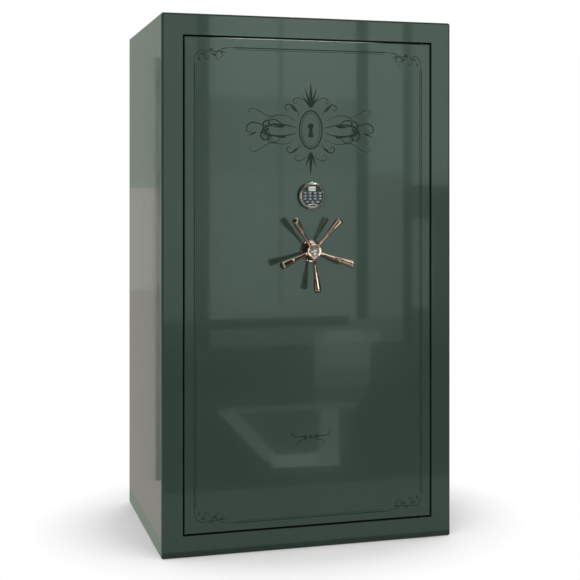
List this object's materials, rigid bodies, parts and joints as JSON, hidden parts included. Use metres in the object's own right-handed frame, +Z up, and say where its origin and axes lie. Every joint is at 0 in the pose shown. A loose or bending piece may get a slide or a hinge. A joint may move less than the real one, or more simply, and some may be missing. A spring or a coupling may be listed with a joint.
{
  "type": "gun safe",
  "caption": "Tall steel gun safe with a flush door on concealed pivots, a geared five-spoke handle, side, top and bottom locking bars and a round electronic keypad.",
  "frame": {"origin": "middle of the cabinet's underside, on the floor; the handle stands out in front of the cabinet and isn't counted", "axes": "+X towards the viewer's right as seen from the front, +Y from the door into the safe, +Z up"},
  "size_m": [1.054, 0.787, 1.842],
  "materials": {
    "cabinet_paint": "gloss",
    "door_paint": "gloss",
    "fireboard": "matte",
    "lining_fabric": "matte",
    "carpeted_board": "matte",
    "panel_fabric": "matte",
    "pocket_fabric": "matte",
    "zinc_steel": "satin",
    "bright_steel": "satin",
    "boltwork_steel": "satin",
    "hardened_steel": "satin",
    "black_chrome": "polished",
    "bright_chrome": "polished",
    "black_plastic": "satin",
    "key_rubber": "matte",
    "display_glass": "gloss",
    "seal_strip": "matte",
    "bronze_bush": "satin",
    "light_diffuser": "satin"
  },
  "bodies": {
    "cabinet": {"cabinet_shell": "cabinet_paint", "fireboard_liner": "fireboard", "interior_lining": "lining_fabric", "door_seal": "seal_strip", "hinge_bracket_top": "zinc_steel", "hinge_bracket_bottom": "zinc_steel", "centre_divider": "carpeted_board", "top_shelf": "carpeted_board", "shelf_upper": "carpeted_board", "shelf_lower": "carpeted_board", "barrel_rack": "carpeted_board", "power_outlet": "black_plastic", "light_bar": "light_diffuser"},
    "door": {"door_plate": "door_paint", "hinge_arm_top": "zinc_steel", "hinge_arm_bottom": "zinc_steel", "door_fireboard": "fireboard", "door_box": "boltwork_steel", "door_panel": "panel_fabric", "door_pockets": "pocket_fabric", "hard_plate": "hardened_steel", "lock_case": "zinc_steel", "keypad_housing": "black_plastic", "keypad_bezel": "bright_chrome", "display_lens": "display_glass", "shaft_bush": "bronze_bush"},
    "handle": {"handle_shaft": "zinc_steel", "handle_hub": "black_chrome", "hub_cap": "bright_chrome", "spoke_1": "black_chrome", "spoke_2": "black_chrome", "spoke_3": "black_chrome", "spoke_4": "black_chrome", "spoke_5": "black_chrome", "drive_pinion": "zinc_steel"},
    "left_bolts": {"left_bar": "bright_steel", "left_rack": "zinc_steel"},
    "right_bolts": {"right_bar": "bright_steel", "right_rack": "zinc_steel"},
    "top_bolts": {"top_bar": "bright_steel", "top_rack": "zinc_steel"},
    "bottom_bolts": {"bottom_bar": "bright_steel", "bottom_rack": "zinc_steel"},
    "lock_bolt": {"lock_bolt": "bronze_bush"},
    "battery_cover": {"battery_cover": "bright_chrome"},
    "key_1": {"key_1": "key_rubber"},
    "key_2": {"key_2": "key_rubber"},
    "key_3": {"key_3": "key_rubber"},
    "key_up": {"key_up": "key_rubber"},
    "key_4": {"key_4": "key_rubber"},
    "key_5": {"key_5": "key_rubber"},
    "key_6": {"key_6": "key_rubber"},
    "key_down": {"key_down": "key_rubber"},
    "key_7": {"key_7": "key_rubber"},
    "key_8": {"key_8": "key_rubber"},
    "key_9": {"key_9": "key_rubber"},
    "key_enter": {"key_enter": "key_rubber"},
    "key_star": {"key_star": "key_rubber"},
    "key_0": {"key_0": "key_rubber"},
    "key_hash": {"key_hash": "key_rubber"}
  },
  "joints": [
    {"name": "door_hinge", "type": "hinge", "parent": "cabinet", "child": "door", "pos_m": [0.422, -0.3335, 0.921], "axis": [0, 0, 1], "range_deg": [0, 110]},
    {"name": "handle_turn", "type": "hinge", "parent": "door", "child": "handle", "pos_m": [0, -0.3495, 1.0315], "axis": [0, -1, 0], "range_deg": [0, 75]},
    {"name": "left_bolt_slide", "type": "slide", "parent": "door", "child": "left_bolts", "axis": [-1, 0, 0], "range_m": [0, 0.0354]},
    {"name": "right_bolt_slide", "type": "slide", "parent": "door", "child": "right_bolts", "axis": [1, 0, 0], "range_m": [0, 0.0354]},
    {"name": "top_bolt_slide", "type": "slide", "parent": "door", "child": "top_bolts", "axis": [0, 0, 1], "range_m": [0, 0.0354]},
    {"name": "bottom_bolt_slide", "type": "slide", "parent": "door", "child": "bottom_bolts", "axis": [0, 0, -1], "range_m": [0, 0.0354]},
    {"name": "lock_bolt_slide", "type": "slide", "parent": "door", "child": "lock_bolt", "axis": [1, 0, 0], "range_m": [0, 0.0085]},
    {"name": "battery_cover_slide", "type": "slide", "parent": "door", "child": "battery_cover", "axis": [0, -1, 0], "range_m": [0, 0.012]},
    {"name": "key_1_press", "type": "slide", "parent": "door", "child": "key_1", "axis": [0, 1, 0], "range_m": [0, 0.001], "stiffness_N_per_m": 300},
    {"name": "key_2_press", "type": "slide", "parent": "door", "child": "key_2", "axis": [0, 1, 0], "range_m": [0, 0.001], "stiffness_N_per_m": 300},
    {"name": "key_3_press", "type": "slide", "parent": "door", "child": "key_3", "axis": [0, 1, 0], "range_m": [0, 0.001], "stiffness_N_per_m": 300},
    {"name": "key_up_press", "type": "slide", "parent": "door", "child": "key_up", "axis": [0, 1, 0], "range_m": [0, 0.001], "stiffness_N_per_m": 300},
    {"name": "key_4_press", "type": "slide", "parent": "door", "child": "key_4", "axis": [0, 1, 0], "range_m": [0, 0.001], "stiffness_N_per_m": 300},
    {"name": "key_5_press", "type": "slide", "parent": "door", "child": "key_5", "axis": [0, 1, 0], "range_m": [0, 0.001], "stiffness_N_per_m": 300},
    {"name": "key_6_press", "type": "slide", "parent": "door", "child": "key_6", "axis": [0, 1, 0], "range_m": [0, 0.001], "stiffness_N_per_m": 300},
    {"name": "key_down_press", "type": "slide", "parent": "door", "child": "key_down", "axis": [0, 1, 0], "range_m": [0, 0.001], "stiffness_N_per_m": 300},
    {"name": "key_7_press", "type": "slide", "parent": "door", "child": "key_7", "axis": [0, 1, 0], "range_m": [0, 0.001], "stiffness_N_per_m": 300},
    {"name": "key_8_press", "type": "slide", "parent": "door", "child": "key_8", "axis": [0, 1, 0], "range_m": [0, 0.001], "stiffness_N_per_m": 300},
    {"name": "key_9_press", "type": "slide", "parent": "door", "child": "key_9", "axis": [0, 1, 0], "range_m": [0, 0.001], "stiffness_N_per_m": 300},
    {"name": "key_enter_press", "type": "slide", "parent": "door", "child": "key_enter", "axis": [0, 1, 0], "range_m": [0, 0.001], "stiffness_N_per_m": 300},
    {"name": "key_star_press", "type": "slide", "parent": "door", "child": "key_star", "axis": [0, 1, 0], "range_m": [0, 0.001], "stiffness_N_per_m": 300},
    {"name": "key_0_press", "type": "slide", "parent": "door", "child": "key_0", "axis": [0, 1, 0], "range_m": [0, 0.001], "stiffness_N_per_m": 300},
    {"name": "key_hash_press", "type": "slide", "parent": "door", "child": "key_hash", "axis": [0, 1, 0], "range_m": [0, 0.001], "stiffness_N_per_m": 300}
  ],
  "couplings": [
    {"joint": "left_bolt_slide", "follows": "handle_turn", "m_per_rad": 0.027},
    {"joint": "right_bolt_slide", "follows": "handle_turn", "m_per_rad": 0.027},
    {"joint": "top_bolt_slide", "follows": "handle_turn", "m_per_rad": 0.027},
    {"joint": "bottom_bolt_slide", "follows": "handle_turn", "m_per_rad": 0.027}
  ]
}
